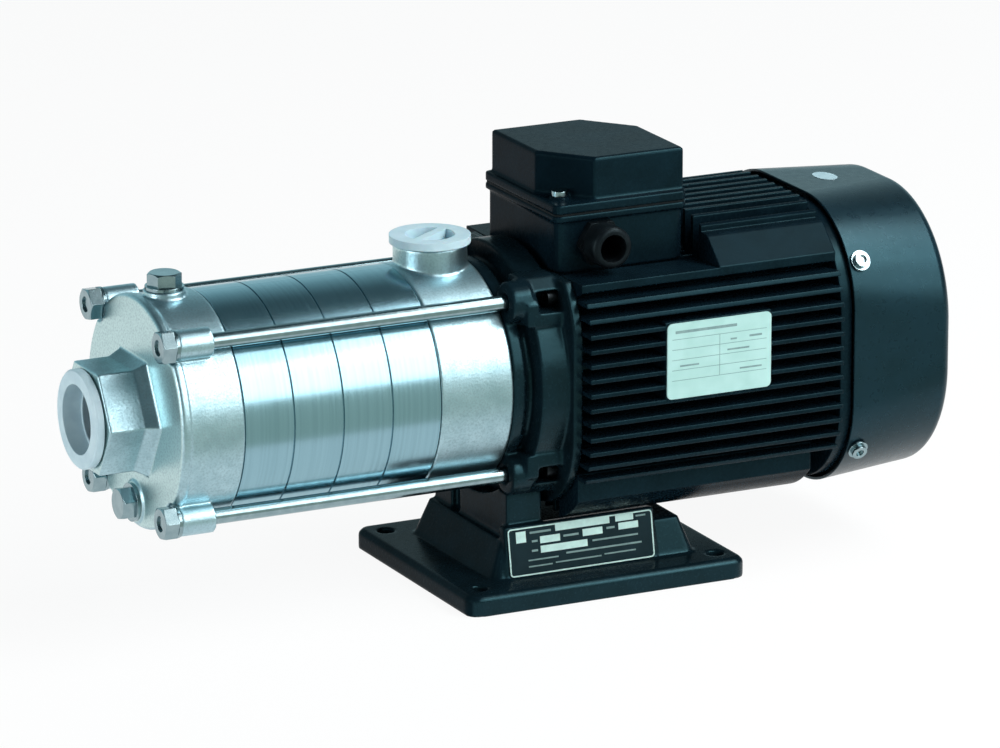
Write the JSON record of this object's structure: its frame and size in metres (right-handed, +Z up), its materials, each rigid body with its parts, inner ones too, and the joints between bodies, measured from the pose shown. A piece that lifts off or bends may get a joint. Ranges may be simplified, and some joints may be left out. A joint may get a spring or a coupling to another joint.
{
  "type": "horizontal multistage centrifugal pump",
  "caption": "Close-coupled horizontal multistage centrifugal pump: clamped stainless stages, capped ports, black finned motor with terminal box, cast foot.",
  "frame": {"origin": "on the floor, at the middle of the base plate's four bolt holes", "axes": "+X along the shaft from the suction port to the fan, +Z up out of the discharge port, +Y to the side away from the nameplates"},
  "size_m": [0.5082, 0.1708, 0.248],
  "materials": {
    "cast_stainless": "bead-blasted",
    "turned_stainless": "fine turned",
    "pressed_stainless": "satin",
    "plated_steel": "bright zinc plated",
    "shaft_steel": "ground",
    "bearing_steel": "polished",
    "cap_plastic": "moulded",
    "ring_plastic": "moulded",
    "seal_carbon": "lapped",
    "seal_rubber": "moulded",
    "black_cast_iron": "gloss paint over a cast surface",
    "black_aluminium": "gloss paint over a cast surface",
    "black_sheet_steel": "gloss paint",
    "plate_metal": "printed plate",
    "black_plate": "black printed plate",
    "blackened_steel": "black oxide",
    "core_steel": "laminated",
    "winding_copper": "varnished",
    "board_plastic": "moulded",
    "stud_brass": "bright",
    "fan_plastic": "moulded",
    "gland_plastic": "moulded"
  },
  "bodies": {
    "pump": {"suction_casing": "cast_stainless", "discharge_casing": "cast_stainless", "neck_rings": "ring_plastic", "guide_vanes": "pressed_stainless", "chamber_orings": "seal_rubber", "seal_plate": "pressed_stainless", "seal_seat": "seal_carbon", "front_bearing_outer": "bearing_steel", "rear_bearing_outer": "bearing_steel", "wave_spring": "pressed_stainless", "tie_rods": "plated_steel", "tie_rod_nuts": "plated_steel", "tie_rod_washers": "plated_steel", "bracket": "black_cast_iron", "pedestal": "black_cast_iron", "pedestal_bolts": "plated_steel", "pump_nameplate": "black_plate", "motor_nameplate": "plate_metal", "motor_frame": "black_aluminium", "motor_screws": "blackened_steel", "stator_core": "core_steel", "stator_windings": "winding_copper", "rear_end_shield": "black_aluminium", "fan_cover": "black_sheet_steel", "fan_cover_screws": "plated_steel", "fan_cover_washers": "plated_steel", "terminal_box": "black_aluminium", "terminal_box_lid": "black_aluminium", "terminal_box_gasket": "seal_rubber", "lid_screws": "plated_steel", "terminal_board": "board_plastic", "terminal_studs": "stud_brass", "cable_gland": "gland_plastic", "gland_nut": "gland_plastic", "stage_chamber_1": "turned_stainless", "stage_chamber_2": "turned_stainless", "stage_chamber_3": "turned_stainless", "stage_chamber_4": "turned_stainless"},
    "rotor": {"shaft": "shaft_steel", "impeller_1": "pressed_stainless", "impeller_2": "pressed_stainless", "impeller_3": "pressed_stainless", "impeller_4": "pressed_stainless", "impeller_nut": "plated_steel", "seal_head": "turned_stainless", "seal_bellows": "seal_rubber", "front_bearing_inner": "bearing_steel", "rear_bearing_inner": "bearing_steel", "rotor_core": "core_steel", "fan": "fan_plastic", "fan_circlip": "pressed_stainless"},
    "front_cage": {"front_bearing_balls": "bearing_steel"},
    "rear_cage": {"rear_bearing_balls": "bearing_steel"},
    "suction_cap": {"suction_port_cap": "cap_plastic"},
    "discharge_cap": {"discharge_port_cap": "cap_plastic"},
    "fill_washer": {"fill_plug_washer": "plated_steel"},
    "fill_plug": {"fill_plug": "plated_steel"},
    "drain_washer": {"drain_plug_washer": "plated_steel"},
    "drain_plug": {"drain_plug": "plated_steel"}
  },
  "joints": [
    {"name": "rotor_spin", "type": "hinge", "parent": "pump", "child": "rotor", "pos_m": [0, 0, 0.123], "axis": [1, 0, 0], "continuous": true},
    {"name": "front_cage_spin", "type": "hinge", "parent": "pump", "child": "front_cage", "pos_m": [0, 0, 0.123], "axis": [1, 0, 0], "continuous": true},
    {"name": "rear_cage_spin", "type": "hinge", "parent": "pump", "child": "rear_cage", "pos_m": [0, 0, 0.123], "axis": [1, 0, 0], "continuous": true},
    {"name": "suction_cap_pull", "type": "slide", "parent": "pump", "child": "suction_cap", "axis": [-1, 0, 0], "range_m": [0, 0.03]},
    {"name": "discharge_cap_lift", "type": "slide", "parent": "pump", "child": "discharge_cap", "axis": [0, 0, 1], "range_m": [0, 0.03]},
    {"name": "fill_plug_rise", "type": "slide", "parent": "pump", "child": "fill_washer", "axis": [0, 0, 1], "range_m": [0, 0.012]},
    {"name": "fill_plug_turn", "type": "hinge", "parent": "fill_washer", "child": "fill_plug", "pos_m": [-0.2388, 0, 0.1915], "axis": [0, 0, 1], "range_deg": [0, 3240]},
    {"name": "drain_plug_travel", "type": "slide", "parent": "pump", "child": "drain_washer", "axis": [-1, 0, 0], "range_m": [0, 0.012]},
    {"name": "drain_plug_turn", "type": "hinge", "parent": "drain_washer", "child": "drain_plug", "pos_m": [-0.2593, 0, 0.0711], "axis": [-1, 0, 0], "range_deg": [0, 3240]}
  ],
  "couplings": [
    {"joint": "front_cage_spin", "follows": "rotor_spin", "ratio": 0.40182},
    {"joint": "rear_cage_spin", "follows": "rotor_spin", "ratio": 0.38716},
    {"joint": "fill_plug_turn", "follows": "fill_plug_rise", "rad_per_m": 4699.5},
    {"joint": "drain_plug_turn", "follows": "drain_plug_travel", "rad_per_m": 4699.5}
  ]
}
